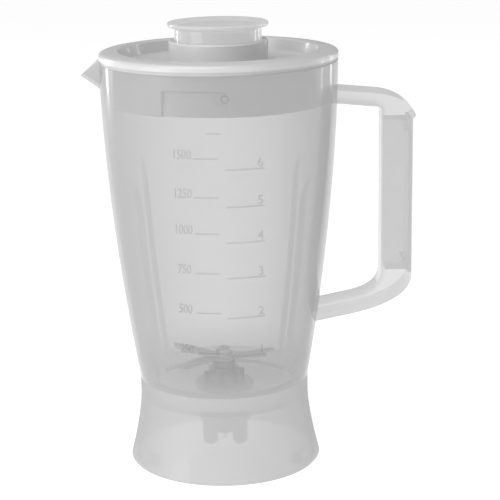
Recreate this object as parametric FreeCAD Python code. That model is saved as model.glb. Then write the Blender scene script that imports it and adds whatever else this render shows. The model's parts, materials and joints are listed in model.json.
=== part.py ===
import FreeCAD, Part
import math
import os

# Blender jug attachment, standing on its frosted base collar.
# Millimetres, +Z up. The origin is on the table at the centre of the foot.
# The handle points along +X, the spout along -X, and the measuring scale faces -Y.

# ---- overall sizes -------------------------------------------------------------------
RIM_HEIGHT = 240.0
RIM_RADIUS = 68.9
FOOT_RADIUS = 57.4
COLLAR_HEIGHT = 51.0

# ---- clearances ----------------------------------------------------------------------
SLIP_GAP = 0.35          # between pieces that lift off or turn by hand
RUNNING_GAP = 0.05       # radial, spindle in its bushes
SNAP_GAP = 0.2           # between pieces that are clipped together

# ---- jug -----------------------------------------------------------------------------
JUG_WALL = 2.4
JUG_FOOT_RADIUS = 50.4   # outside, where the jug meets the top of the collar
JUG_BULGE = 1.75         # power of the side curve: 1 is a straight cone
SPIGOT_LENGTH = 7.0
SPIGOT_WALL = 2.4
RIB_COUNT = 4
RIB_DEPTH = 4.5
RIB_ANGLE = 4.6          # width of a rib, in degrees
RIB_GAP = 37.0           # between the ribs and the skirt of the lid
RIB_TAPER = 14.0
RIB_BEARING = 38.0       # of each rib from the line through spout and handle
LUG_RADIUS = 3.4
LUG_REACH = 1.2
LUG_DROP = 12.4          # lug centre below the rim
LID_LUG_COUNT = 2
BAYONET_COUNT = 3
BAYONET_REACH = 1.5
BAYONET_HEIGHT = 2.6
BAYONET_ANGLE = 16.0
JUG_TURN = 30.0          # turn that takes the jug off its stop

# ---- spout ---------------------------------------------------------------------------
SPOUT_REACH = 10.8       # tip beyond the rim
SPOUT_DEPTH = 14.8       # from the rim down to where the spout leaves the wall
SPOUT_DIP = 7.4          # tip below the rim
SPOUT_RISE = 1.6         # root of the lip above the rim, clear of the lid
SPOUT_ROUND = 2.2        # height over which the wall runs out into the spout
SPOUT_HALF_ANGLE = 19.0
SPOUT_WALL = 2.2

# ---- handle --------------------------------------------------------------------------
HANDLE_HALF_WIDTH = 13.0
HANDLE_DROP = 17.2       # top of the upper arm below the rim, at the jug wall
HANDLE_FALL = 2.3        # fall of the upper arm out to the grip
HANDLE_ARM = 8.4
HANDLE_ROUND = 5.6       # rounding of the edges that the fingers touch
HOLE_CORNER = 2.4
HAND_GAP = 24.5          # between the rim and the grip
GRIP_DEPTH = 17.8
GRIP_LOW = 114.4         # where the underside has turned up into the grip
SHOULDER_DROP = 13.3
SHOULDER_POWER = 1.8
SHOULDER_LIP = 1.5       # the shoulder stands out over the cover of the grip
LOWER_ARM_BASE = 85.8    # underside of the lower arm at the jug wall
LOWER_ARM_HEIGHT = 8.9
LOWER_ARM_SLOPE = 0.2    # rise of the lower arm for each millimetre out
LOWER_ARM_REACH = 22.0   # from the grip back to where the lower arm starts to bend
INNER_POWER = 3.0
OUTER_POWER = 2.5
HANDLE_SHELL = 2.6
COVER_THICK = 2.2
COVER_LEDGE = 1.4

# ---- base collar ---------------------------------------------------------------------
COLLAR_WALL = 2.6
COLLAR_FLARE = 1.5
WAIST_HEIGHT = 40.0
FLOOR_TOP = 42.0
FLOOR_THICK = 3.0
FOOT_ROUND = 1.0
SOCKET_LUGS = 3
SOCKET_LUG_ANGLE = 15.0
SOCKET_LUG_REACH = 3.6
SOCKET_LUG_HEIGHT = 5.0
SOCKET_LUG_BASE = 3.0
SOCKET_RIB_HEIGHT = 12.0

# ---- blade unit ----------------------------------------------------------------------
SPINDLE_RADIUS = 3.0
HOLDER_SEAL_THICK = 0.8
HOLDER_FLANGE_RADIUS = 17.7
HOLDER_FLANGE_THICK = 2.4
HUB_FOOT_RADIUS = 10.6
HUB_SHOULDER_RADIUS = 9.4
HUB_SHOULDER_HEIGHT = 9.4
NECK_RADIUS = 6.8
NECK_HEIGHT = 3.6
HUB_RIBS = 6
STEM_RADIUS = 10.0
STEM_LENGTH = 13.0
BUSH_RADIUS = 5.6
BUSH_LENGTH = 7.0
SHAFT_SEAL_HEIGHT = 1.6
HOLDER_NUT_RADIUS = 18.5
HOLDER_NUT_HEIGHT = 6.5
HOLDER_NUT_GRIPS = 12
BLADE_THICK = 1.2
BLADE_WIDTH = 9.6
UPPER_BLADE_REACH = 31.2
LOWER_BLADE_REACH = 28.0
BLADE_FLAT = 9.5         # half length of the flat middle of a blade
UPPER_BLADE_BEND = 13.0
LOWER_BLADE_BEND = -9.0
UPPER_BLADE_TURN = -14.0
LOWER_BLADE_TURN = 22.0
SPACER_RADIUS = 5.4
SPACER_THICK = 1.2
LOCK_WASHER_THICK = 0.6
CAP_NUT_RADIUS = 4.4
CAP_NUT_HEIGHT = 4.6
THRUST_WASHER_THICK = 1.0
CLIP_THICK = 0.8
CLIP_GROOVE = 0.6
COUPLING_RADIUS = 15.0
COUPLING_PLATE = 3.2
COUPLING_DROP = 12.4     # length of the driving dogs below the plate
COUPLING_TOP = 24.2
COUPLING_HUB_RADIUS = 6.4
DOG_COUNT = 4
DOG_ANGLE = 38.0
DOG_WALL = 5.0

# ---- lid -----------------------------------------------------------------------------
LID_SEAL_THICK = 2.0
LID_OVERHANG = 0.2       # rim of the lid beyond the rim of the jug
LID_RIM_HEIGHT = 4.6
LID_RIM_EDGE = 2.2
LID_RIM_WIDTH = 11.6
LID_RECESS = 8.6
LID_WALL = 2.2
SKIRT_DEPTH = 25.0
FILLER_RADIUS = 25.7
FILLER_WALL = 3.0
FILLER_RISE = 5.2        # top of the filler collar above the lid's rim
FILLER_DROP = 6.0        # filler collar below the lid's floor
LUG_POCKET_DEPTH = 1.3
LUG_POCKET_ANGLE = 28.8
LUG_POCKET_STOP = 3.8

# ---- filler cap ----------------------------------------------------------------------
CAP_WALL = 1.8
CAP_FLANGE_WIDTH = 3.95
CAP_FLANGE_THICK = 2.6
CAP_RISE = 10.5          # top of the cap above the filler collar
CAP_DROP = 15.0          # skirt of the cap below the top of the filler collar
CAP_LUG_HALF = 2.5
CAP_LUG_HEIGHT = 3.0
CAP_LUG_COUNT = 2
CAP_LUG_BEARING = -15.0

# ---- heights and radii that follow from the sizes above ---------------------------------
SPIGOT_BOTTOM = COLLAR_HEIGHT - SPIGOT_LENGTH
SEAT_RADIUS = JUG_FOOT_RADIUS - COLLAR_WALL
SPIGOT_RADIUS = SEAT_RADIUS - SLIP_GAP
SPIGOT_INSIDE = SPIGOT_RADIUS - SPIGOT_WALL
HOLDER_BASE = FLOOR_TOP + HOLDER_SEAL_THICK
FLANGE_TOP = HOLDER_BASE + HOLDER_FLANGE_THICK
SHOULDER_TOP = FLANGE_TOP + HUB_SHOULDER_HEIGHT
NECK_TOP = SHOULDER_TOP + NECK_HEIGHT
STEM_BOTTOM = HOLDER_BASE - STEM_LENGTH
SPACER_BASE = NECK_TOP + SLIP_GAP
LOWER_BLADE_BASE = SPACER_BASE + SPACER_THICK
UPPER_BLADE_BASE = LOWER_BLADE_BASE + BLADE_THICK
LOCK_WASHER_BASE = UPPER_BLADE_BASE + BLADE_THICK
CAP_NUT_BASE = LOCK_WASHER_BASE + LOCK_WASHER_THICK
THRUST_WASHER_TOP = STEM_BOTTOM - SLIP_GAP
CLIP_TOP = THRUST_WASHER_TOP - THRUST_WASHER_THICK
CLIP_BOTTOM = CLIP_TOP - CLIP_THICK
SPINDLE_BOTTOM = COUPLING_TOP - COUPLING_PLATE - COUPLING_DROP / 2
SPINDLE_TOP = CAP_NUT_BASE + CAP_NUT_HEIGHT - 1.4
LID_BASE = RIM_HEIGHT + LID_SEAL_THICK
LID_RADIUS = RIM_RADIUS + LID_OVERHANG
LID_TOP = LID_BASE + LID_RIM_HEIGHT
RECESS_RADIUS = LID_RADIUS - LID_RIM_WIDTH
RECESS_FLOOR = LID_TOP - LID_RECESS
SKIRT_BOTTOM = LID_BASE - SKIRT_DEPTH
FILLER_TOP = LID_TOP + FILLER_RISE
FILLER_OUTER = FILLER_RADIUS + FILLER_WALL
CAP_RADIUS = FILLER_RADIUS - SLIP_GAP
CAP_TOP = FILLER_TOP + CAP_RISE
LUG_HEIGHT = RIM_HEIGHT - LUG_DROP
RIB_TOP_HEIGHT = SKIRT_BOTTOM - RIB_GAP
HANDLE_TOP = RIM_HEIGHT - HANDLE_DROP
GRIP_INNER = RIM_RADIUS + HAND_GAP
GRIP_OUTER = GRIP_INNER + GRIP_DEPTH
GRIP_TOP = HANDLE_TOP - HANDLE_FALL - SHOULDER_DROP - SHOULDER_LIP
CHANNEL_LOW = GRIP_LOW + 1.0
CHANNEL_HIGH = GRIP_TOP - COVER_LEDGE
COVER_SEAT = GRIP_OUTER - COVER_THICK

Z_AXIS = FreeCAD.Vector(0, 0, 1)
ORIGIN = FreeCAD.Vector(0, 0, 0)


def jug_radius(z):
    """Outside radius of the jug wall at a height."""
    share = min(max((z - COLLAR_HEIGHT) / (RIM_HEIGHT - COLLAR_HEIGHT), 0.0), 1.0)
    return JUG_FOOT_RADIUS + (RIM_RADIUS - JUG_FOOT_RADIUS) * (1 - (1 - share) ** JUG_BULGE)


def jug_inside(z):
    """Inside radius of the jug wall at a height."""
    return jug_radius(z) - JUG_WALL


def collar_radius(z):
    """Outside radius of the base collar at a height."""
    share = min(z / WAIST_HEIGHT, 1.0)
    return JUG_FOOT_RADIUS + (FOOT_RADIUS - JUG_FOOT_RADIUS) * (1 - share) ** COLLAR_FLARE


def collar_inside(z):
    """Inside radius of the base collar's skirt at a height."""
    return collar_radius(z) - COLLAR_WALL


def heights(low, high, count):
    """Evenly spaced heights from low to high."""
    return [low + (high - low) * i / (count - 1) for i in range(count)]


def side_curve(radius_at, low, high, count=7, shift=0.0):
    """Points (radius, height) up a curved wall."""
    return [(radius_at(z) + shift, z) for z in heights(low, high, count)]


def section(*runs):
    """Closed face in the XZ plane. A run is an edge, either way round, or points: two or a curve of more."""
    edges = []
    first = last = None
    for run in runs:
        if isinstance(run, Part.Edge):
            points = [run.valueAt(run.FirstParameter), run.valueAt(run.LastParameter)]
            edge = run
        else:
            points = [FreeCAD.Vector(r, 0, z) for r, z in run]
            curve = Part.BSplineCurve()
            if len(points) > 2:
                curve.interpolate(points)
            edge = curve.toShape() if len(points) > 2 else Part.makeLine(points[0], points[1])
        if last is not None and (points[-1] - last).Length < 1e-6:
            points.reverse()
        if last is not None and (points[0] - last).Length > 1e-6:
            edges.append(Part.makeLine(last, points[0]))
        edges.append(edge)
        first = first or points[0]
        last = points[-1]
    if (first - last).Length > 1e-6:
        edges.append(Part.makeLine(last, first))
    return Part.Face(Part.Wire(edges))


def bend(start, end, slope, power):
    """Edge in the XZ plane that leaves start at a slope and ends upright. A power of 2 is an ellipse."""
    run, rise = end[0] - start[0], end[1] - start[1]
    straight = slope * run
    points = []
    for step in range(8):
        angle = math.radians(90.0 * step / 7)
        share, lift = math.sin(angle) ** (2 / power), 1 - math.cos(angle) ** (2 / power)
        height = start[1] + straight * share + (rise - straight) * lift
        points.append(FreeCAD.Vector(start[0] + run * share, 0, height))
    curve = Part.BSplineCurve()
    curve.interpolate(Points=points, InitialTangent=FreeCAD.Vector(1, 0, slope),
                      FinalTangent=FreeCAD.Vector(0, 0, math.copysign(1, rise)))
    return curve.toShape()


def lines(*points):
    """The straight runs of an outline through the given points, as section() takes them."""
    return [[a, b] for a, b in zip(points, points[1:])]


def turned(face, angle=360.0, centre=0.0):
    """Solid of revolution about Z, over an angle centred on a bearing from +X."""
    solid = face.revolve(ORIGIN, Z_AXIS, angle)
    if angle < 360.0:
        solid.rotate(ORIGIN, Z_AXIS, centre - angle / 2)
    return solid


def ring(inner, outer, low, high, angle=360.0, centre=0.0):
    """Plain ring, or a piece of one, between two radii and two heights."""
    return turned(section(*lines((inner, low), (outer, low), (outer, high), (inner, high))), angle, centre)


def disc(radius, low, high):
    """Plain cylinder on the Z axis."""
    return Part.makeCylinder(radius, high - low, FreeCAD.Vector(0, 0, low))


def around(shape, count, start=0.0):
    """Copies of a shape spaced evenly about Z."""
    copies = []
    for i in range(count):
        copy = shape.copy()
        copy.rotate(ORIGIN, Z_AXIS, start + i * 360.0 / count)
        copies.append(copy)
    return copies


def joined(shape, others):
    """One clean solid made from a shape and what is added to it."""
    return shape.fuse(others).removeSplitter()


def spout_wedge(inset):
    """Three-sided spout form that grows out of the wall, narrower by an inset on every side."""
    low = RIM_HEIGHT - SPOUT_DEPTH
    high = RIM_HEIGHT + SPOUT_DIP
    slope = (SPOUT_REACH + RIM_RADIUS - jug_radius(low)) / (SPOUT_DEPTH - SPOUT_DIP)
    root = (jug_inside(RIM_HEIGHT) - 4.0) * 0.9
    widest = root * math.sin(math.radians(SPOUT_HALF_ANGLE)) * 1.4
    levels = ((low - SPOUT_ROUND, -0.4, 0.2), (low + SPOUT_ROUND / 4, slope * SPOUT_ROUND / 2, 0.42),
              (high, slope * (high - low), 1.0))
    wires = []
    for z, ahead, spread in levels:
        tip = jug_radius(low) + ahead - inset * 1.5
        half = max(widest * spread - inset, 0.4)
        corners = [(-tip, 0.0), (-root, -half), (-root, half), (-tip, 0.0)]
        wires.append(Part.makePolygon([FreeCAD.Vector(x, y, z) for x, y in corners]))
    return Part.makeLoft(wires, True, True)


def spout_trim():
    """Everything above the slanted lip of the spout."""
    start = RIM_RADIUS - SLIP_GAP
    far = RIM_RADIUS + 4 * SPOUT_REACH
    root = RIM_HEIGHT + SPOUT_RISE
    drop = (far - start) * (SPOUT_DIP + SPOUT_RISE) / (SPOUT_REACH + SLIP_GAP)
    above = RIM_HEIGHT + 20
    face = section(*lines((0, root), (-start, root), (-far, root - drop), (-far, above), (0, above)))
    face.translate(FreeCAD.Vector(0, -RIM_RADIUS, 0))
    return face.extrude(FreeCAD.Vector(0, 2 * RIM_RADIUS, 0))


def handle_blank():
    """Solid loop of the handle before it is hollowed, reaching into the jug."""
    wall = jug_radius(LOWER_ARM_BASE)
    inside = wall - 12.0
    arm_slope = -HANDLE_FALL / (GRIP_INNER - RIM_RADIUS)
    shoulder = (GRIP_INNER - 1.0, HANDLE_TOP - HANDLE_FALL)
    lip = (GRIP_OUTER + SHOULDER_LIP, GRIP_TOP + SHOULDER_LIP)
    knee = GRIP_INNER - LOWER_ARM_REACH
    arm_bottom = LOWER_ARM_BASE + (knee - wall) * LOWER_ARM_SLOPE
    arm_top = arm_bottom + LOWER_ARM_HEIGHT
    outline = section(
        [(inside, HANDLE_TOP + (inside - RIM_RADIUS) * arm_slope), shoulder],
        bend(shoulder, lip, arm_slope, SHOULDER_POWER),
        [lip, (GRIP_OUTER, GRIP_TOP)],
        [(GRIP_OUTER, GRIP_TOP), (GRIP_OUTER, GRIP_LOW)],
        bend((knee, arm_bottom), (GRIP_OUTER, GRIP_LOW), LOWER_ARM_SLOPE, OUTER_POWER),
        [(knee, arm_bottom), (inside, arm_bottom - (knee - inside) * LOWER_ARM_SLOPE)])
    ceiling = HANDLE_TOP - HANDLE_FALL - HANDLE_ARM
    hole = section(
        [(inside, arm_top - (knee - inside) * LOWER_ARM_SLOPE), (knee, arm_top)],
        bend((knee, arm_top), (GRIP_INNER, GRIP_LOW + HOLE_CORNER), LOWER_ARM_SLOPE, INNER_POWER),
        [(GRIP_INNER, GRIP_LOW + HOLE_CORNER), (GRIP_INNER, ceiling - HOLE_CORNER)],
        bend((GRIP_INNER - HOLE_CORNER, ceiling), (GRIP_INNER, ceiling - HOLE_CORNER), arm_slope, 2.0),
        [(GRIP_INNER - HOLE_CORNER, ceiling), (inside, ceiling - (GRIP_INNER - inside) * arm_slope)])
    width = FreeCAD.Vector(0, 2 * HANDLE_HALF_WIDTH, 0)
    rounded = hole.OuterWire.copy()
    for face in (outline, hole):
        face.translate(width * -0.5)
    loop = outline.extrude(width).cut(hole.extrude(width))
    return loop.makeFillet(HANDLE_ROUND, [e for e in loop.Edges if follows(e, rounded, inside + 1.0)])


def follows(edge, wire, nearest):
    """True for an edge on the front or back of the handle that lies along a wire in the middle plane."""
    middle = edge.valueAt((edge.FirstParameter + edge.LastParameter) / 2)
    flat = Part.Vertex(middle.x, 0, middle.z)
    on_side = abs(abs(middle.y) - HANDLE_HALF_WIDTH) < 1e-6
    return on_side and middle.x > nearest and wire.distToShape(flat)[0] < 1e-3


def grip_box(inner_x, outer_x, half_width, low, high):
    """Box along the grip, used for the channel and its cover."""
    corner = FreeCAD.Vector(inner_x, -half_width, low)
    return Part.makeBox(outer_x - inner_x, 2 * half_width, high - low, corner)


def make_jug_handle():
    """Handle loop with a channel down the outside of the grip, fitted to the wall of the jug."""
    half = HANDLE_HALF_WIDTH - HANDLE_SHELL
    inner_x = GRIP_INNER + HANDLE_SHELL
    channel = grip_box(inner_x, GRIP_OUTER + 2, half - COVER_LEDGE, CHANNEL_LOW, CHANNEL_HIGH)
    seat = grip_box(COVER_SEAT, GRIP_OUTER + 2, half, CHANNEL_LOW - COVER_LEDGE, CHANNEL_HIGH + COVER_LEDGE)
    return handle_blank().cut([channel, seat, jug_outside()]).removeSplitter()


def make_handle_cover():
    """Strip that closes the channel of the grip."""
    half = HANDLE_HALF_WIDTH - HANDLE_SHELL - SNAP_GAP
    low = CHANNEL_LOW - COVER_LEDGE + SNAP_GAP
    high = CHANNEL_HIGH + COVER_LEDGE - SNAP_GAP
    strip = grip_box(COVER_SEAT, GRIP_OUTER, half, low, high)
    strip = strip.makeFillet(0.6, [e for e in strip.Edges if e.BoundBox.XMin > GRIP_OUTER - 0.1])
    nib_half = half - COVER_LEDGE - SNAP_GAP
    nibs = [grip_box(COVER_SEAT - 3.0, COVER_SEAT, nib_half, z, z + 6.0)
            for z in (CHANNEL_LOW + SNAP_GAP, CHANNEL_HIGH - 6.0 - SNAP_GAP)]
    return joined(strip, nibs)


def jug_outside():
    """The jug's outer form as one solid, without its spout."""
    return turned(section(
        [(0, SPIGOT_BOTTOM), (SPIGOT_RADIUS, SPIGOT_BOTTOM)],
        [(SPIGOT_RADIUS, SPIGOT_BOTTOM), (SPIGOT_RADIUS, COLLAR_HEIGHT)],
        [(SPIGOT_RADIUS, COLLAR_HEIGHT), (JUG_FOOT_RADIUS, COLLAR_HEIGHT)],
        side_curve(jug_radius, COLLAR_HEIGHT, RIM_HEIGHT),
        [(RIM_RADIUS, RIM_HEIGHT), (0, RIM_HEIGHT)]))


def make_jug_body():
    """Moulded jug: wall, spigot, spout, ribs and lid lugs in one piece."""
    hollow = turned(section(
        [(0, SPIGOT_BOTTOM - 1), (SPIGOT_INSIDE, SPIGOT_BOTTOM - 1)],
        [(SPIGOT_INSIDE, SPIGOT_BOTTOM - 1), (SPIGOT_INSIDE, COLLAR_HEIGHT - 1)],
        [(SPIGOT_INSIDE, COLLAR_HEIGHT - 1), (jug_inside(COLLAR_HEIGHT + 3), COLLAR_HEIGHT + 3)],
        side_curve(jug_inside, COLLAR_HEIGHT + 3, RIM_HEIGHT),
        [(jug_inside(RIM_HEIGHT), RIM_HEIGHT), (jug_inside(RIM_HEIGHT), RIM_HEIGHT + 1)],
        [(jug_inside(RIM_HEIGHT), RIM_HEIGHT + 1), (0, RIM_HEIGHT + 1)]))
    body = jug_outside().fuse(spout_wedge(0.0)).cut([hollow, spout_wedge(SPOUT_WALL), spout_trim()])
    above_rim = disc(RIM_RADIUS - SLIP_GAP, RIM_HEIGHT, RIM_HEIGHT + 30)
    return joined(body.cut(above_rim), jug_ribs() + lid_lugs() + jug_bayonets())


def jug_ribs():
    """Upright ribs inside the jug that break up the swirl."""
    low = COLLAR_HEIGHT + 3
    full = RIB_TOP_HEIGHT - RIB_TAPER
    root = 1.0
    top_root = (jug_inside(RIB_TOP_HEIGHT) + root, RIB_TOP_HEIGHT)
    rib = turned(section(
        side_curve(jug_inside, low, full, shift=-RIB_DEPTH),
        [(jug_inside(full) - RIB_DEPTH, full), top_root],
        side_curve(jug_inside, low, RIB_TOP_HEIGHT, shift=root)[::-1],
        [(jug_inside(low) + root, low), (jug_inside(low) - RIB_DEPTH, low)]), RIB_ANGLE)
    return [copy for bearing in (RIB_BEARING, -RIB_BEARING) for copy in around(rib, RIB_COUNT // 2, bearing)]


def lid_lugs():
    """Round lugs on the inside of the jug that the lid turns under."""
    wall = jug_inside(LUG_HEIGHT)
    start = FreeCAD.Vector(0, -(wall - LUG_REACH), LUG_HEIGHT)
    lug = Part.makeCylinder(LUG_RADIUS, LUG_REACH + 1.0, start, FreeCAD.Vector(0, -1, 0))
    return around(lug, LID_LUG_COUNT)


def jug_bayonets():
    """Low lugs round the spigot."""
    low = SPIGOT_BOTTOM + 0.8
    outer = SPIGOT_RADIUS + BAYONET_REACH
    lug = ring(SPIGOT_RADIUS - 1.0, outer, low, low + BAYONET_HEIGHT, BAYONET_ANGLE, -90.0)
    return around(lug, BAYONET_COUNT)


def make_base_collar():
    """Frosted collar: flared skirt, floor that carries the blade unit, seat for the jug."""
    floor_bottom = FLOOR_TOP - FLOOR_THICK
    stem_hole = STEM_RADIUS + SNAP_GAP
    foot_edge = FOOT_RADIUS - COLLAR_WALL
    profile = section(
        [(stem_hole, floor_bottom), (collar_inside(floor_bottom), floor_bottom)],
        side_curve(collar_inside, 0, floor_bottom)[::-1],
        [(foot_edge, 0), (FOOT_RADIUS - FOOT_ROUND, 0)],
        [(FOOT_RADIUS - FOOT_ROUND, 0), (collar_radius(FOOT_ROUND), FOOT_ROUND)],
        side_curve(collar_radius, FOOT_ROUND, WAIST_HEIGHT),
        [(JUG_FOOT_RADIUS, WAIST_HEIGHT), (JUG_FOOT_RADIUS, COLLAR_HEIGHT)],
        [(JUG_FOOT_RADIUS, COLLAR_HEIGHT), (SEAT_RADIUS, COLLAR_HEIGHT)],
        [(SEAT_RADIUS, COLLAR_HEIGHT), (SEAT_RADIUS, FLOOR_TOP)],
        [(SEAT_RADIUS, FLOOR_TOP), (stem_hole, FLOOR_TOP)])
    slot_outer = SPIGOT_RADIUS + BAYONET_REACH + SLIP_GAP
    slot_angle = BAYONET_ANGLE + JUG_TURN + 2 * math.degrees(SLIP_GAP / SPIGOT_RADIUS)
    slot_centre = -90.0 + JUG_TURN / 2
    slot = ring(SEAT_RADIUS - 1, slot_outer, FLOOR_TOP + 1.0, COLLAR_HEIGHT + 1, slot_angle, slot_centre)
    body = turned(profile).cut(around(slot, BAYONET_COUNT))
    return joined(body, socket_lugs() + socket_ribs())


def socket_lugs():
    """Inward lugs near the foot that lock onto the motor unit."""
    top = SOCKET_LUG_BASE + SOCKET_LUG_HEIGHT
    lug = ring(collar_inside(top) - SOCKET_LUG_REACH, collar_inside(top) + 1.0,
               SOCKET_LUG_BASE, top, SOCKET_LUG_ANGLE, 90.0)
    return around(lug, SOCKET_LUGS)


def socket_ribs():
    """Thin webs under the floor that stiffen it."""
    floor_bottom = FLOOR_TOP - FLOOR_THICK
    inner = HOLDER_NUT_RADIUS + 5.0
    low = floor_bottom - SOCKET_RIB_HEIGHT
    outline = section(*lines((inner, floor_bottom + 1), (collar_inside(low) + 1, floor_bottom + 1),
                             (collar_inside(low) + 1, low), (collar_inside(low) - 4.0, low)))
    outline.translate(FreeCAD.Vector(0, -0.9, 0))
    web = outline.extrude(FreeCAD.Vector(0, 1.8, 0))
    return around(web, SOCKET_LUGS * 2, 30.0)


def make_jug_seal():
    """Rubber ring between the jug's spigot and the collar's floor."""
    return ring(SPIGOT_INSIDE, SPIGOT_RADIUS, FLOOR_TOP, SPIGOT_BOTTOM)


def make_blade_holder():
    """Housing of the blade spindle, clamped through the collar's floor."""
    bore = BUSH_RADIUS
    body = turned(section(*lines(
        (bore, STEM_BOTTOM), (STEM_RADIUS, STEM_BOTTOM), (STEM_RADIUS, HOLDER_BASE),
        (HOLDER_FLANGE_RADIUS, HOLDER_BASE), (HOLDER_FLANGE_RADIUS, FLANGE_TOP - 0.8),
        (HOLDER_FLANGE_RADIUS - 0.8, FLANGE_TOP), (HUB_FOOT_RADIUS, FLANGE_TOP),
        (HUB_SHOULDER_RADIUS, SHOULDER_TOP - 1.0), (HUB_SHOULDER_RADIUS - 1.0, SHOULDER_TOP),
        (NECK_RADIUS, SHOULDER_TOP), (NECK_RADIUS, NECK_TOP), (bore, NECK_TOP))))
    web = Part.makeBox(3.4, 1.8, HUB_SHOULDER_HEIGHT - 2.4)
    web.translate(FreeCAD.Vector(HUB_FOOT_RADIUS - 1.6, -0.9, FLANGE_TOP))
    return joined(body, around(web, HUB_RIBS, 15.0))


def make_holder_seal():
    """Flat gasket under the flange of the blade holder."""
    return ring(STEM_RADIUS + SNAP_GAP, HOLDER_FLANGE_RADIUS - 0.6, FLOOR_TOP, HOLDER_BASE)


def make_holder_nut():
    """Large ring nut that clamps the blade holder from below."""
    top = FLOOR_TOP - FLOOR_THICK
    nut = ring(STEM_RADIUS, HOLDER_NUT_RADIUS, top - HOLDER_NUT_HEIGHT, top)
    notch = Part.makeCylinder(1.7, HOLDER_NUT_HEIGHT + 2,
                              FreeCAD.Vector(HOLDER_NUT_RADIUS + 0.5, 0, top - HOLDER_NUT_HEIGHT - 1))
    return nut.cut(around(notch, HOLDER_NUT_GRIPS))


def make_bush(low):
    """Sintered bush pressed into the holder."""
    return ring(SPINDLE_RADIUS + RUNNING_GAP, BUSH_RADIUS, low, low + BUSH_LENGTH)


def make_shaft_seal():
    """Lip seal at the top of the holder, in its own space above the upper bush."""
    inner = SPINDLE_RADIUS + RUNNING_GAP
    return ring(inner, BUSH_RADIUS, NECK_TOP - SHAFT_SEAL_HEIGHT, NECK_TOP)


def make_spindle():
    """Steel spindle with a groove for its clip."""
    spindle = disc(SPINDLE_RADIUS, SPINDLE_BOTTOM, SPINDLE_TOP)
    groove = ring(SPINDLE_RADIUS - CLIP_GROOVE, SPINDLE_RADIUS + 1, CLIP_BOTTOM, CLIP_TOP)
    return spindle.cut(groove)


def make_blade(base, reach, bend, turn):
    """Two-winged blade: a flat middle and two wings bent by the same angle."""
    middle = Part.makeBox(2 * BLADE_FLAT, BLADE_WIDTH, BLADE_THICK,
                          FreeCAD.Vector(-BLADE_FLAT, -BLADE_WIDTH / 2, base))
    half = BLADE_WIDTH / 2
    length = (reach - BLADE_FLAT) / math.cos(math.radians(bend))
    plan = [(-BLADE_THICK, -half), (length * 0.45, -half), (length, -half * 0.15), (length, half * 0.35),
            (length * 0.9, half), (-BLADE_THICK, half)]
    points = [FreeCAD.Vector(x, y, 0) for x, y in plan]
    wing = Part.Face(Part.makePolygon(points + points[:1])).extrude(FreeCAD.Vector(0, 0, BLADE_THICK))
    wing.rotate(ORIGIN, FreeCAD.Vector(0, 1, 0), -bend)
    wing.translate(FreeCAD.Vector(BLADE_FLAT, 0, base))
    hole = disc(SPINDLE_RADIUS, base - 1, base + BLADE_THICK + 1)
    inside_bend = base - BLADE_THICK if bend > 0 else base + BLADE_THICK
    heel = disc(BLADE_FLAT + BLADE_THICK, inside_bend, inside_bend + BLADE_THICK)
    blade = joined(middle, around(wing, 2)).cut([hole, heel])
    blade.rotate(ORIGIN, Z_AXIS, turn)
    return blade


def make_cap_nut():
    """Domed hexagon nut on top of the blades."""
    corner = CAP_NUT_RADIUS / math.cos(math.radians(30))
    points = [FreeCAD.Vector(corner * math.cos(math.radians(60 * i)), corner * math.sin(math.radians(60 * i)),
                             CAP_NUT_BASE) for i in range(7)]
    hexagon = Part.Face(Part.makePolygon(points)).extrude(FreeCAD.Vector(0, 0, CAP_NUT_HEIGHT))
    dome_radius = CAP_NUT_HEIGHT * 1.6
    dome = Part.makeSphere(dome_radius, FreeCAD.Vector(0, 0, CAP_NUT_BASE + CAP_NUT_HEIGHT - dome_radius))
    return hexagon.common(dome).cut(disc(SPINDLE_RADIUS, CAP_NUT_BASE - 1, SPINDLE_TOP))


def make_circlip():
    """Open spring clip in the spindle's groove."""
    clip = ring(SPINDLE_RADIUS - CLIP_GROOVE, SPINDLE_RADIUS + 2.0, CLIP_BOTTOM, CLIP_TOP, 300.0, 0.0)
    ear = Part.makeCylinder(1.0, CLIP_THICK, FreeCAD.Vector(SPINDLE_RADIUS + 1.6, 0, CLIP_BOTTOM))
    left = ear.copy()
    left.rotate(ORIGIN, Z_AXIS, 140.0)
    ear.rotate(ORIGIN, Z_AXIS, -140.0)
    return joined(clip, [left, ear])


def make_drive_coupling():
    """Coupling at the bottom of the spindle, with dogs that the motor turns."""
    plate_bottom = COUPLING_TOP - COUPLING_PLATE
    plate = disc(COUPLING_RADIUS, plate_bottom, COUPLING_TOP)
    hub = disc(COUPLING_HUB_RADIUS, SPINDLE_BOTTOM - 1.5, COUPLING_TOP + 1.6)
    dog = ring(COUPLING_RADIUS - DOG_WALL, COUPLING_RADIUS, plate_bottom - COUPLING_DROP, plate_bottom,
               DOG_ANGLE, 45.0)
    tip = COUPLING_RADIUS * math.sin(math.radians(DOG_ANGLE / 2)) * 0.9
    dog = dog.makeChamfer(tip * 0.35, [e for e in dog.Edges if upright_pair(e, plate_bottom - COUPLING_DROP)])
    body = joined(plate, [hub] + around(dog, DOG_COUNT))
    return body.cut(disc(SPINDLE_RADIUS, SPINDLE_BOTTOM, COUPLING_TOP + 5))


def upright_pair(edge, height):
    """True for a straight edge that lies flat at a height."""
    box = edge.BoundBox
    level = abs(box.ZMin - height) < 1e-6 and abs(box.ZMax - height) < 1e-6
    return level and edge.Curve.TypeId == "Part::GeomLine"


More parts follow.
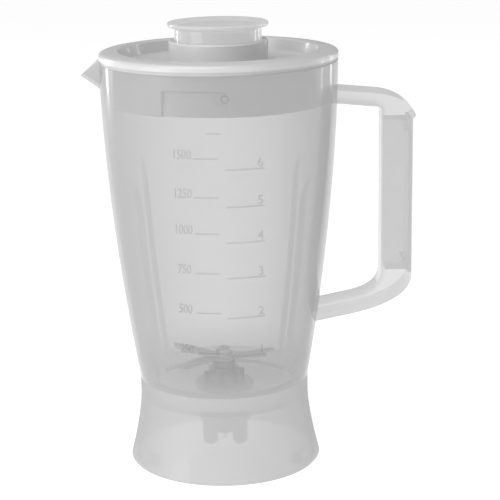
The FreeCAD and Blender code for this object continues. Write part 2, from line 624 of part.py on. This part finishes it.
def make_lid():
    """Opaque lid: rounded rim, recess, filler collar and deep skirt."""
    floor_low = RECESS_FLOOR - LID_WALL
    skirt = side_curve(jug_inside, SKIRT_BOTTOM, RIM_HEIGHT, 4, -SLIP_GAP)
    skirt_top = (skirt[-1][0], LID_BASE)
    inner = [(r - LID_WALL, z) for r, z in skirt]
    rim_curve = [(LID_RADIUS, LID_BASE + LID_RIM_EDGE), (LID_RADIUS - 0.8, LID_TOP - 1.2),
                 (LID_RADIUS - 2.8, LID_TOP - 0.45), (LID_RADIUS - 6.0, LID_TOP - 0.1)]
    wall_foot = RECESS_RADIUS - 1.4
    profile = section(
        [skirt_top, (LID_RADIUS, LID_BASE)],
        [(LID_RADIUS, LID_BASE), rim_curve[0]], rim_curve,
        [rim_curve[-1], (RECESS_RADIUS + 0.8, LID_TOP)],
        [(RECESS_RADIUS + 0.8, LID_TOP), (RECESS_RADIUS, LID_TOP - 0.8)],
        [(RECESS_RADIUS, LID_TOP - 0.8), (wall_foot, RECESS_FLOOR + 1.6)],
        [(wall_foot, RECESS_FLOOR + 1.6), (wall_foot - 1.8, RECESS_FLOOR)],
        [(wall_foot - 1.8, RECESS_FLOOR), (FILLER_OUTER, RECESS_FLOOR)],
        [(FILLER_OUTER, RECESS_FLOOR), (FILLER_OUTER, FILLER_TOP - 0.8)],
        [(FILLER_OUTER, FILLER_TOP - 0.8), (FILLER_OUTER - 0.8, FILLER_TOP)],
        [(FILLER_OUTER - 0.8, FILLER_TOP), (FILLER_RADIUS, FILLER_TOP)],
        [(FILLER_RADIUS, FILLER_TOP), (FILLER_RADIUS, floor_low - FILLER_DROP)],
        [(FILLER_RADIUS, floor_low - FILLER_DROP), (FILLER_RADIUS + LID_WALL, floor_low - FILLER_DROP)],
        [(FILLER_RADIUS + LID_WALL, floor_low - FILLER_DROP), (FILLER_RADIUS + LID_WALL, floor_low)],
        [(FILLER_RADIUS + LID_WALL, floor_low), (wall_foot + LID_WALL, floor_low)],
        [(wall_foot + LID_WALL, floor_low), (RECESS_RADIUS + LID_WALL, LID_BASE + 1.6)],
        [(RECESS_RADIUS + LID_WALL, LID_BASE + 1.6), (inner[-1][0], LID_BASE + 1.6)],
        [(inner[-1][0], LID_BASE + 1.6), inner[-1]],
        inner[::-1],
        [inner[0], skirt[0]],
        skirt)
    return turned(profile).cut(lug_pockets() + cap_notches())


def lug_pockets():
    """Shallow pockets in the skirt, open downwards, that let the lid drop over the lugs and turn."""
    outer = jug_inside(LUG_HEIGHT) + 2
    inner = jug_inside(SKIRT_BOTTOM) - SLIP_GAP - LUG_POCKET_DEPTH
    top = LUG_HEIGHT + LUG_RADIUS + SLIP_GAP
    span = LUG_POCKET_ANGLE + LUG_POCKET_STOP
    centre = -90.0 + LUG_POCKET_STOP - span / 2
    return around(ring(inner, outer, SKIRT_BOTTOM - 1, top, span, centre), LID_LUG_COUNT)


def cap_notches():
    """Notches in the top of the filler collar for the lugs of the cap."""
    notch = Part.makeBox(FILLER_WALL + 4, 2 * (CAP_LUG_HALF + SLIP_GAP), CAP_LUG_HEIGHT + 5)
    notch.translate(FreeCAD.Vector(FILLER_RADIUS - 2, -CAP_LUG_HALF - SLIP_GAP, FILLER_TOP - CAP_LUG_HEIGHT))
    return around(notch, CAP_LUG_COUNT, CAP_LUG_BEARING)


def make_lid_seal():
    """Soft ring between the rim of the jug and the rim of the lid."""
    inner = jug_inside(RIM_HEIGHT) - SLIP_GAP + SNAP_GAP
    return ring(inner, RIM_RADIUS - 0.6, RIM_HEIGHT, LID_BASE)


def make_filler_cap():
    """Clear hollow cap that closes the filler hole."""
    low = FILLER_TOP - CAP_DROP
    flange_low = CAP_TOP - CAP_FLANGE_THICK
    edge = CAP_RADIUS + CAP_FLANGE_WIDTH
    body = turned(section(
        [(CAP_RADIUS - CAP_WALL, low), (CAP_RADIUS, low)],
        [(CAP_RADIUS, low), (CAP_RADIUS, flange_low - 1.0)],
        [(CAP_RADIUS, flange_low - 1.0), (CAP_RADIUS + 1.0, flange_low)],
        [(CAP_RADIUS + 1.0, flange_low), (edge - 0.9, flange_low)],
        [(edge - 0.9, flange_low), (edge - 0.1, flange_low + 0.6), (edge - 0.1, CAP_TOP - 1.0),
         (edge - 1.0, CAP_TOP - 0.2)],
        [(edge - 1.0, CAP_TOP - 0.2), (0, CAP_TOP)],
        [(0, CAP_TOP), (0, CAP_TOP - CAP_WALL)],
        [(0, CAP_TOP - CAP_WALL), (CAP_RADIUS - CAP_WALL, CAP_TOP - CAP_WALL - 0.6)]))
    lug = Part.makeBox(FILLER_OUTER - CAP_RADIUS + 0.4, 2 * CAP_LUG_HALF, CAP_LUG_HEIGHT)
    lug.translate(FreeCAD.Vector(CAP_RADIUS - 0.8, -CAP_LUG_HALF, FILLER_TOP - CAP_LUG_HEIGHT))
    return joined(body, around(lug, CAP_LUG_COUNT, CAP_LUG_BEARING))


def make_nodes():
    """Every piece of the attachment, by node name."""
    upper_bush_low = NECK_TOP - SHAFT_SEAL_HEIGHT - BUSH_LENGTH
    return {
        "jug_body": make_jug_body(),
        "jug_handle": make_jug_handle(),
        "handle_cover": make_handle_cover(),
        "base_collar": make_base_collar(),
        "jug_seal": make_jug_seal(),
        "blade_holder": make_blade_holder(),
        "holder_seal": make_holder_seal(),
        "holder_nut": make_holder_nut(),
        "upper_bush": make_bush(upper_bush_low),
        "lower_bush": make_bush(STEM_BOTTOM),
        "shaft_seal": make_shaft_seal(),
        "spindle": make_spindle(),
        "blade_spacer": ring(SPINDLE_RADIUS, SPACER_RADIUS, SPACER_BASE, LOWER_BLADE_BASE),
        "lower_blade": make_blade(LOWER_BLADE_BASE, LOWER_BLADE_REACH, LOWER_BLADE_BEND, LOWER_BLADE_TURN),
        "upper_blade": make_blade(UPPER_BLADE_BASE, UPPER_BLADE_REACH, UPPER_BLADE_BEND, UPPER_BLADE_TURN),
        "lock_washer": ring(SPINDLE_RADIUS, SPACER_RADIUS - 0.6, LOCK_WASHER_BASE, CAP_NUT_BASE),
        "cap_nut": make_cap_nut(),
        "thrust_washer": ring(SPINDLE_RADIUS, BUSH_RADIUS, CLIP_TOP, THRUST_WASHER_TOP),
        "circlip": make_circlip(),
        "drive_coupling": make_drive_coupling(),
        "lid": make_lid(),
        "lid_seal": make_lid_seal(),
        "filler_cap": make_filler_cap(),
    }


os.makedirs("parts", exist_ok=True)
for node, shape in make_nodes().items():
    solid = shape.Solids[0] if len(shape.Solids) == 1 else shape
    print(node, "valid", solid.isValid(), "solids", len(shape.Solids), "volume", round(shape.Volume, 1))
    solid.exportStep(os.path.join("parts", node + ".step"))
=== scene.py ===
import json
import math

import bmesh
import bpy
from mathutils import Matrix, Vector
from mathutils.bvhtree import BVHTree


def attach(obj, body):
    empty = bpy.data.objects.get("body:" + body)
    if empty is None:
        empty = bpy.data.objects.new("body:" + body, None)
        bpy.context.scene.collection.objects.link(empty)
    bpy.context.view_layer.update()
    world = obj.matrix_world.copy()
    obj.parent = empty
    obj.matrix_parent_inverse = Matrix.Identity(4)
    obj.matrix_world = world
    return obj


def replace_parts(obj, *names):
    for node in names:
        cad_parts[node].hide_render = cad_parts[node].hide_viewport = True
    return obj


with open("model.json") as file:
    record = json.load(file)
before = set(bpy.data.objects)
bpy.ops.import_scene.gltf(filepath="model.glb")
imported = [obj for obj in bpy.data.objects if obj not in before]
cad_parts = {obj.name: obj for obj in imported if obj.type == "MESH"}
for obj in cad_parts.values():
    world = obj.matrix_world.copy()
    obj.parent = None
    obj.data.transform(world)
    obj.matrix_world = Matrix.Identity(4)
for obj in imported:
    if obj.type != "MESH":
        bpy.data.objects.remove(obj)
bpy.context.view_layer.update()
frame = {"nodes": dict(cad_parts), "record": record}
nodes = frame["nodes"]

MM = 0.001


# ---- shader sockets as Python values -------------------------------------------------
class Wire:
    """A socket of a material, which plus, times and powers can be written on."""

    def __init__(self, kit, socket):
        self.kit = kit
        self.socket = socket

    def __add__(self, other):
        return self.kit.maths("ADD", self, other)

    def __mul__(self, other):
        return self.kit.maths("MULTIPLY", self, other)

    def __pow__(self, other):
        return self.kit.maths("POWER", self, other)

    __radd__ = __add__
    __rmul__ = __mul__


class Nodes:
    """The nodes of one material or world."""

    def __init__(self, owner):
        owner.use_nodes = True
        self.tree = owner.node_tree

    def node(self, kind, settings=None, output=0, **inputs):
        """Adds a node, sets its settings, then its sockets, and returns one output.

        A socket is given by its name, or as i and its number."""
        made = self.tree.nodes.new(kind)
        for key, value in (settings or {}).items():
            setattr(made, key, value)
        for key, value in inputs.items():
            socket = int(key[1:]) if key[1:].isdigit() else key.replace("_", " ")
            self.feed(made.inputs[socket], value)
        return Wire(self, made.outputs[output])

    def feed(self, socket, value):
        if isinstance(value, Wire):
            self.tree.links.new(value.socket, socket)
        else:
            socket.default_value = value

    def maths(self, operation, a, b):
        return self.node("ShaderNodeMath", {"operation": operation}, i0=a, i1=b)


class Finish(Nodes):
    """One material: its nodes, and the Principled shader that they feed."""

    def __init__(self, name):
        self.material = bpy.data.materials.new(name)
        super().__init__(self.material)
        self.shader = self.tree.nodes["Principled BSDF"]

    def place(self):
        """Object coordinates."""
        return self.node("ShaderNodeTexCoord", output="Object")

    def noise(self, scale, detail, stretch=(1.0, 1.0, 1.0)):
        """Cloudy pattern, drawn out along an axis where its stretch is small."""
        spot = self.node("ShaderNodeMapping", Vector=self.place(), Scale=stretch)
        return self.node("ShaderNodeTexNoise", Vector=spot, Scale=scale, Detail=detail)

    def mix(self, share, first, second):
        """A colour between two, by a share from 0 to 1."""
        return self.node("ShaderNodeMix", {"data_type": "RGBA"}, output=2, i0=share, i6=first, i7=second)

    def rise(self, start, end, top):
        """Grows from 0 at one height to its top value at another."""
        height = self.node("ShaderNodeSeparateXYZ", output="Z", Vector=self.place())
        return self.node("ShaderNodeMapRange", Value=height, From_Min=start, From_Max=end,
                         To_Min=0.0, To_Max=top)

    def edge(self, blend):
        """0 where the surface faces the eye, 1 where it is seen edge on."""
        return self.node("ShaderNodeLayerWeight", output="Facing", Blend=blend)

    def bump(self, height, strength, distance):
        self.feed(self.shader.inputs["Normal"],
                  self.node("ShaderNodeBump", Height=height, Strength=strength, Distance=distance))

    def set(self, **inputs):
        for key, value in inputs.items():
            self.feed(self.shader.inputs[key.replace("_", " ")], value)
        return self


HAZE_TOP = 68.0 * MM         # the jug's plastic turns thicker and hazier from this height
HAZE_FOOT = 52.0 * MM        # down to this one
DARK_CLOUD = 0.97            # a plastic's tone where its cloudy pattern is darkest
LIGHT_CLOUD = 1.03           # and where it is lightest
BODY_CHANGE = 0.05           # how much that pattern changes a hazy plastic's body
ROUGH_CHANGE = 0.08          # how much it changes an opaque plastic's roughness
SKIN_GRAIN = 260.0           # scale of an opaque plastic's fine skin
RING_TONE = 0.82             # tone of the dark rings on turned metal


def grey(level):
    return (level, level, level, 1.0)


def hazy_plastic(name, level, body, edge_body, roughness, painted_glow, rim_power=2.0, painted_rim_shade=0.12,
                 foot_haze=0.0):
    """Translucent moulded plastic: hazy where it is looked through, denser edge on, and darkened edge on
    by painted shade.

    The emission strength is painted light that stands in for light spread inside the plastic. A high
    rim power keeps the painted dark edge to a thin outline. Foot haze is body that the plastic gains
    towards its thick foot."""
    finish = Finish(name)
    cloud = finish.noise(20.0, 3.0)
    flow = finish.noise(40.0, 2.0, (1.0, 1.0, 0.25))
    edge = finish.edge(0.4)
    rim = edge ** rim_power
    face = finish.mix(cloud, grey(level * DARK_CLOUD), grey(level))
    density = edge * (edge_body - body) + (cloud * BODY_CHANGE + (body - BODY_CHANGE / 2))
    if foot_haze:
        density = density + finish.rise(HAZE_TOP, HAZE_FOOT, foot_haze)
    # Painted shade: seen edge on, the colour and the emission darken to a dark outline. The emission is
    # painted light.
    finish.set(Base_Color=finish.mix(rim, face, grey(level * painted_rim_shade)),
               Emission_Color=finish.mix(rim, grey(1.0), grey(painted_rim_shade)), Emission_Strength=painted_glow,
               Alpha=density, Roughness=flow * 0.05 + roughness, IOR=1.45, Specular_IOR_Level=0.35,
               Coat_Weight=0.3, Coat_Roughness=0.03)
    finish.bump(flow, 0.06, 0.0004)
    return finish.material


def moulded_plastic(name, level, roughness, gloss=0.3):
    """Opaque moulded plastic with a fine skin."""
    finish = Finish(name)
    cloud = finish.noise(14.0, 3.0)
    finish.set(Base_Color=finish.mix(cloud, grey(level * DARK_CLOUD), grey(level * LIGHT_CLOUD)),
               Roughness=cloud * ROUGH_CHANGE + (roughness - ROUGH_CHANGE / 2),
               Coat_Weight=gloss, Coat_Roughness=0.12)
    finish.bump(finish.noise(SKIN_GRAIN, 3.0), 0.06, 0.0003)
    return finish.material


def soft_rubber(name, level):
    """Matt rubber of a seal."""
    finish = Finish(name)
    cloud = finish.noise(60.0, 4.0)
    finish.set(Base_Color=finish.mix(cloud, grey(level * 0.9), grey(level)), Roughness=cloud * 0.1 + 0.55,
               Specular_IOR_Level=0.3)
    finish.bump(finish.noise(700.0, 2.0), 0.1, 0.0002)
    return finish.material


def turned_metal(name, colour, roughness, ring_scale):
    """Metal with the fine rings that a lathe leaves round the Z axis."""
    finish = Finish(name)
    rings = finish.node("ShaderNodeTexWave", {"wave_type": "BANDS", "bands_direction": "Z"},
                        Vector=finish.place(), Scale=ring_scale, Distortion=1.5, Detail=3.0)
    dark = tuple(c * RING_TONE for c in colour) + (1.0,)
    finish.set(Base_Color=finish.mix(rings, dark, colour + (1.0,)), Metallic=1.0,
               Roughness=rings * 0.12 + roughness)
    finish.bump(rings, 0.08, 0.0001)
    return finish.material


def ground_steel(name, level):
    """Blade steel with fine scratches along the grind."""
    finish = Finish(name)
    scratches = finish.noise(300.0, 4.0, (0.15, 1.0, 1.0))
    finish.set(Base_Color=finish.mix(scratches, grey(level * 0.85), grey(level)), Metallic=1.0,
               Roughness=scratches * 0.16 + 0.2)
    finish.bump(scratches, 0.12, 0.0001)
    return finish.material


# Every hazy plastic here and below gets emission, which is painted light in place of light spread inside
# it, and a painted dark outline edge on.
FINISHES = {
    "clear_plastic": hazy_plastic("jug plastic", 0.23, body=0.31, edge_body=0.88, roughness=0.14, painted_glow=0.31,
                                  painted_rim_shade=0.08, foot_haze=0.22),
    "frosted_plastic": hazy_plastic("collar plastic", 0.25, body=0.64, edge_body=0.95, roughness=0.4,
                                    painted_glow=0.33),
    "cap_plastic": hazy_plastic("cap plastic", 0.36, body=0.5, edge_body=0.75, roughness=0.06, painted_glow=0.3,
                                rim_power=5.0, painted_rim_shade=0.5),
    "lid_plastic": moulded_plastic("lid plastic", 0.59, roughness=0.36),
    "holder_plastic": moulded_plastic("holder plastic", 0.17, roughness=0.25, gloss=0.8),
    "coupling_plastic": moulded_plastic("coupling plastic", 0.12, roughness=0.45),
    "seal_rubber": soft_rubber("seal rubber", 0.6),
    "bronze": turned_metal("sintered bronze", (0.5, 0.39, 0.24), roughness=0.4, ring_scale=900.0),
    "steel": turned_metal("turned steel", (0.6, 0.6, 0.6), roughness=0.26, ring_scale=1200.0),
    "blade_steel": ground_steel("blade steel", 0.5),
}
HANDLE_FINISH = hazy_plastic("handle plastic", 0.28, body=0.38, edge_body=0.75, roughness=0.16, painted_glow=0.27,
                             rim_power=6.0, painted_rim_shade=0.2)
COVER_FINISH = hazy_plastic("cover plastic", 0.4, body=1.0, edge_body=1.0, roughness=0.2, painted_glow=0.3,
                            rim_power=6.0, painted_rim_shade=0.5)
# The scale marks are the jug's own plastic, drawn darker and with less emission than the jug: painted shade
# that shows the raised marks.
MARK_FINISH = hazy_plastic("mark plastic", 0.16, body=0.07, edge_body=0.5, roughness=0.2, painted_glow=0.12)
# The pocket edge is the lid's own plastic drawn darker: painted shade along the pocket's outline.
EDGE_FINISH = moulded_plastic("pocket edge", 0.5, roughness=0.36)


def dress(mesh, finish):
    """Gives a mesh one finish all over."""
    mesh.materials.clear()
    mesh.materials.append(finish)


for part in frame["record"]["subparts"]:
    dress(nodes[part["node"]].data, FINISHES[part["material_slot"]])
dress(nodes["jug_handle"].data, HANDLE_FINISH)
dress(nodes["handle_cover"].data, COVER_FINISH)


# ---- new pieces ----------------------------------------------------------------------
SAME_PLACE = 0.001 * MM      # points nearer than this are one point
FLAT_ANGLE = 2.0             # degrees: faces that turn less than this are one flat face
SHARP_ANGLE = 35.0           # degrees: an edge that turns more than this is eased
CREASE = 35.0                # degrees: an edge that turns more than this stays crisp
EASED_CREASE = 50.0          # the same, on a piece with eased edges


def finished(name, shape, finish, body, crease=CREASE):
    """Makes an object of a bmesh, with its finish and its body."""
    bmesh.ops.remove_doubles(shape, verts=shape.verts, dist=SAME_PLACE)
    bmesh.ops.recalc_face_normals(shape, faces=shape.faces)
    mesh = bpy.data.meshes.new(name)
    shape.to_mesh(mesh)
    shape.free()
    mesh.shade_smooth()
    mesh.set_sharp_from_angle(angle=math.radians(crease))
    dress(mesh, finish)
    piece = bpy.data.objects.new(name, mesh)
    bpy.context.scene.collection.objects.link(piece)
    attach(piece, body)
    return piece


def eased(name, node, finish, body, width):
    """The CAD piece with its sharp edges eased, in its place."""
    shape = bmesh.new()
    shape.from_mesh(nodes[node].data)
    bmesh.ops.remove_doubles(shape, verts=shape.verts, dist=SAME_PLACE)
    bmesh.ops.dissolve_limit(shape, angle_limit=math.radians(FLAT_ANGLE), verts=shape.verts,
                             edges=shape.edges)
    sharp = [e for e in shape.edges
             if len(e.link_faces) == 2 and e.calc_face_angle() > math.radians(SHARP_ANGLE)]
    bmesh.ops.bevel(shape, geom=sharp, offset=width, segments=2, profile=0.5, affect="EDGES",
                    material=-1, clamp_overlap=True)
    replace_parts(finished(name, shape, finish, body, EASED_CREASE), node)


IN_FRONT = 0.3               # metres: the wall is looked for from this far in front of the axis


class Wall:
    """A round wall that marks are laid on, as it is seen from the front."""

    def __init__(self, node):
        mesh = nodes[node].data
        mesh.calc_loop_triangles()
        self.tree = BVHTree.FromPolygons([v.co for v in mesh.vertices],
                                         [t.vertices for t in mesh.loop_triangles])

    def lay(self, shape):
        """Wraps a flat shape, drawn in XZ with its rise along -Y, round the wall."""
        for vert in shape.verts:
            x, y, z = vert.co
            hit = self.tree.ray_cast(Vector((0, -IN_FRONT, z)), Vector((0, 1, 0)))[0]
            radius = -hit.y
            out = radius - y
            vert.co = Vector((out * math.sin(x / radius), -out * math.cos(x / radius), z))


MARK_RISE = 0.35 * MM        # marks of the scale stand out of the wall by this
MARK_SINK = 0.25 * MM        # marks reach into the wall by this
EDGE_RISE = 0.15 * MM        # edge of the lid's pocket stands out by this
LINE_WIDTH = 0.7 * MM
BAR_CUTS = 11                # a level line is cut this often, to follow the round wall
RING_STEPS = 24
NUMERAL_SMOOTHNESS = 3

# The cup marks: each number with the height of its line, the line's ends, and the numeral on it.
CUP_MARKS = ((6, 188.6), (5, 167.4), (4, 146.8), (3, 125.8), (2, 101.7), (1, 78.0))
CUP_LEFT, CUP_RIGHT = 3.0 * MM, 24.0 * MM
CUP_NUMERAL_SIZE = 7.4 * MM
CUP_NUMERAL_MIDDLE = 22.2 * MM
CUP_NUMERAL_LIFT = 1.0 * MM  # the numeral stands above its line by this

# The volume marks, in the same way.
VOLUME_MARKS = ((1500, 195.0), (1250, 173.0), (1000, 152.2), (750, 128.9), (500, 104.9), (250, 80.0))
VOLUME_LEFT, VOLUME_RIGHT = -14.5 * MM, -1.5 * MM
VOLUME_NUMERAL_SIZE = 7.8 * MM
VOLUME_NUMERAL_SQUEEZE = 0.7
VOLUME_NUMERAL_MIDDLE = -21.5 * MM
VOLUME_NUMERAL_DROP = 0.4 * MM

TOP_LINE_LEFT = -7.0 * MM    # the short line above the scale ends on the jug's middle
TOP_LINE_HEIGHT = 209.0 * MM
LUG_RING_RADIUS = 2.0 * MM   # the ring in front of the jug's lug
LUG_RING_MIDDLE = 3.0 * MM
LUG_RING_HEIGHT = 227.6 * MM

POCKET_LEFT, POCKET_RIGHT = -32.4 * MM, -0.6 * MM
POCKET_LOW, POCKET_HIGH = 217.6 * MM, 231.1 * MM


def sides_of(verts):
    """The edges at some vertices, each once and always in the same order."""
    return list(dict.fromkeys(edge for vert in verts for edge in vert.link_edges))


def bar(shape, start, end, rise):
    """Straight raised line, level or upright, between two points of the flat drawing."""
    (x0, z0), (x1, z1) = start, end
    made = bmesh.ops.create_cube(shape, size=1.0)["verts"]
    bmesh.ops.scale(shape, vec=(x1 - x0 + LINE_WIDTH, rise + MARK_SINK, z1 - z0 + LINE_WIDTH), verts=made)
    bmesh.ops.translate(shape, vec=((x0 + x1) / 2, (MARK_SINK - rise) / 2, (z0 + z1) / 2), verts=made)
    level = [e for e in sides_of(made) if abs(e.verts[0].co.x - e.verts[1].co.x) > 2 * LINE_WIDTH]
    if level:
        bmesh.ops.subdivide_edges(shape, edges=level, cuts=BAR_CUTS, use_grid_fill=True)


def numerals(shape, text, size, squeeze, middle, height):
    """Raised numerals that stand on a height and are centred on a middle."""
    letters = bpy.data.curves.new("letters", "FONT")
    letters.body = text
    letters.size = size
    letters.align_x = "CENTER"
    letters.extrude = (MARK_RISE + MARK_SINK) / 2
    letters.resolution_u = NUMERAL_SMOOTHNESS
    holder = bpy.data.objects.new("letters", letters)
    flat = bpy.data.meshes.new_from_object(holder)
    start = len(shape.verts)
    shape.from_mesh(flat)
    shape.verts.ensure_lookup_table()
    new = shape.verts[start:]
    bmesh.ops.scale(shape, vec=(squeeze, 1, 1), verts=new)
    bmesh.ops.rotate(shape, cent=(0, 0, 0), matrix=Matrix.Rotation(math.pi / 2, 3, "X"), verts=new)
    bmesh.ops.translate(shape, vec=(middle, (MARK_SINK - MARK_RISE) / 2, height), verts=new)
    bpy.data.objects.remove(holder)
    bpy.data.curves.remove(letters)
    bpy.data.meshes.remove(flat)


def ring(shape, radius, middle, height):
    """Round raised line, centred on a middle and a height."""
    made = bmesh.ops.create_circle(shape, segments=4, radius=LINE_WIDTH / 2)["verts"]
    bmesh.ops.translate(shape, vec=(radius, 0, 0), verts=made)
    bmesh.ops.spin(shape, geom=made + sides_of(made), cent=(0, 0, 0), axis=(0, 1, 0),
                   angle=2 * math.pi, steps=RING_STEPS, use_merge=True)
    round_mark = [v for v in shape.verts if v.co.z < 2 * radius]
    bmesh.ops.translate(shape, vec=(middle, 0, height), verts=round_mark)


def make_scale_marks():
    """Raised measuring scale on the front of the jug: cups on the right, volumes on the left."""
    shape = bmesh.new()
    for number, height in CUP_MARKS:
        level = height * MM
        bar(shape, (CUP_LEFT, level), (CUP_RIGHT, level), MARK_RISE)
        numerals(shape, str(number), CUP_NUMERAL_SIZE, 1.0, CUP_NUMERAL_MIDDLE, level + CUP_NUMERAL_LIFT)
    for number, height in VOLUME_MARKS:
        level = height * MM
        bar(shape, (VOLUME_LEFT, level), (VOLUME_RIGHT, level), MARK_RISE)
        numerals(shape, str(number), VOLUME_NUMERAL_SIZE, VOLUME_NUMERAL_SQUEEZE, VOLUME_NUMERAL_MIDDLE,
                 level - VOLUME_NUMERAL_DROP)
    bar(shape, (TOP_LINE_LEFT, TOP_LINE_HEIGHT), (0.0, TOP_LINE_HEIGHT), MARK_RISE)
    ring(shape, LUG_RING_RADIUS, LUG_RING_MIDDLE, LUG_RING_HEIGHT)
    Wall("jug_body").lay(shape)
    finished("scale_marks", shape, MARK_FINISH, "jug")


def make_pocket_edge():
    """Raised edge along the left side and the top of the front pocket in the lid's skirt, clear of the lug
    that slides in it.
    """
    shape = bmesh.new()
    bar(shape, (POCKET_LEFT, POCKET_LOW), (POCKET_LEFT, POCKET_HIGH), EDGE_RISE)
    bar(shape, (POCKET_LEFT, POCKET_HIGH), (POCKET_RIGHT, POCKET_HIGH), EDGE_RISE)
    Wall("lid").lay(shape)
    finished("lid_pocket_edge", shape, EDGE_FINISH, "lid")


# New piece, the CAD piece that it stands for, the slot of its finish, and how far its edges are eased.
EASED_PIECES = (
    ("upper_blade_ground", "upper_blade", "blade_steel", 0.35 * MM),
    ("lower_blade_ground", "lower_blade", "blade_steel", 0.35 * MM),
    ("cap_nut_eased", "cap_nut", "steel", 0.3 * MM),
    ("drive_coupling_eased", "drive_coupling", "coupling_plastic", 0.3 * MM),
)

make_scale_marks()
make_pocket_edge()
for name, node, slot, width in EASED_PIECES:
    eased(name, node, FINISHES[slot], "blade_shaft", width)


# ---- studio --------------------------------------------------------------------------
FLOOR_RADIUS = 6.0           # metres
FLOOR_GLOW = 0.75            # the pale floor keeps as white as the wall behind it
SEEN_SKY = 1.0               # brightness of the wall to the camera
STUDIO_SKY = 0.39            # and to everything else

# Name, place, aim, width and height in metres, and watts.
SOFTBOXES = (
    ("left key", (-1.5, -0.9, 0.5), (0, 0, 0.15), (1.0, 1.2), 11.0),
    ("left strip", (-1.0, 0.9, 0.3), (0, 0, 0.15), (0.1, 1.1), 5.0),
    ("top", (-0.4, -0.7, 1.4), (0, 0, 0.1), (1.2, 1.2), 13.0),
    ("right strip", (1.2, 0.53, 0.3), (0, 0, 0.15), (0.08, 1.1), 2.0),
    ("right back strip", (1.0, 0.96, 0.35), (0, 0, 0.2), (0.08, 1.1), 2.0),
)

CAMERA_DISTANCE = 0.9209     # metres in front of the axis
CAMERA_HEIGHT = 0.3623       # metres above the floor
CAMERA_PITCH = math.radians(14.36)
CAMERA_YAW = math.radians(-0.30)
CAMERA_ROLL = math.radians(1.147)
FILM_WIDTH = 36.0            # millimetres
FRAME = 500                  # width of the picture, which the lens and its shift are given in
LENS = 1600
SHIFT_RIGHT = 36.16
SHIFT_UP = 0.5


def make_floor():
    plan = bmesh.new()
    bmesh.ops.create_circle(plan, cap_ends=True, segments=64, radius=FLOOR_RADIUS)
    mesh = bpy.data.meshes.new("floor")
    plan.to_mesh(mesh)
    plan.free()
    floor = bpy.data.objects.new("floor", mesh)
    bpy.context.scene.collection.objects.link(floor)
    finish = Finish("studio floor").set(Base_Color=grey(0.5), Roughness=0.7, Emission_Color=grey(1.0),
                                        Emission_Strength=FLOOR_GLOW)
    dress(mesh, finish.material)


def make_world():
    """White to the camera. Everything else sees a dimmer studio."""
    world = bpy.data.worlds.new("studio")
    sky = Nodes(world)
    seen = sky.node("ShaderNodeBackground", Color=grey(1.0), Strength=SEEN_SKY)
    studio = sky.node("ShaderNodeBackground", Color=grey(1.0), Strength=STUDIO_SKY)
    to_camera = sky.node("ShaderNodeLightPath", output="Is Camera Ray")
    both = sky.node("ShaderNodeMixShader", i0=to_camera, i1=studio, i2=seen)
    sky.feed(sky.tree.nodes["World Output"].inputs["Surface"], both)
    bpy.context.scene.world = world


def softbox(name, place, aim, size, power):
    """A soft rectangular light that faces its aim."""
    light = bpy.data.lights.new(name, "AREA")
    light.shape = "RECTANGLE"
    light.size, light.size_y = size
    light.energy = power
    lamp = bpy.data.objects.new(name, light)
    lamp.location = place
    lamp.rotation_euler = (Vector(aim) - Vector(place)).to_track_quat("-Z", "Y").to_euler()
    bpy.context.scene.collection.objects.link(lamp)


def make_camera():
    """Long lens, a little above the jug, looking slightly down."""
    camera = bpy.data.cameras.new("camera")
    camera.sensor_width = FILM_WIDTH
    camera.lens = LENS / FRAME * FILM_WIDTH
    camera.shift_x = SHIFT_RIGHT / FRAME
    camera.shift_y = SHIFT_UP / FRAME
    camera.clip_start = 0.01
    view = bpy.data.objects.new("camera", camera)
    view.matrix_world = (Matrix.Translation((0, -CAMERA_DISTANCE, CAMERA_HEIGHT))
                         @ Matrix.Rotation(-CAMERA_YAW, 4, "Z")
                         @ Matrix.Rotation(math.pi / 2 - CAMERA_PITCH, 4, "X")
                         @ Matrix.Rotation(-CAMERA_ROLL, 4, "Z"))
    bpy.context.scene.collection.objects.link(view)
    bpy.context.scene.camera = view


make_floor()
make_world()
make_camera()
for softbox_facts in SOFTBOXES:
    softbox(*softbox_facts)
bpy.context.scene.view_settings.view_transform = "Standard"
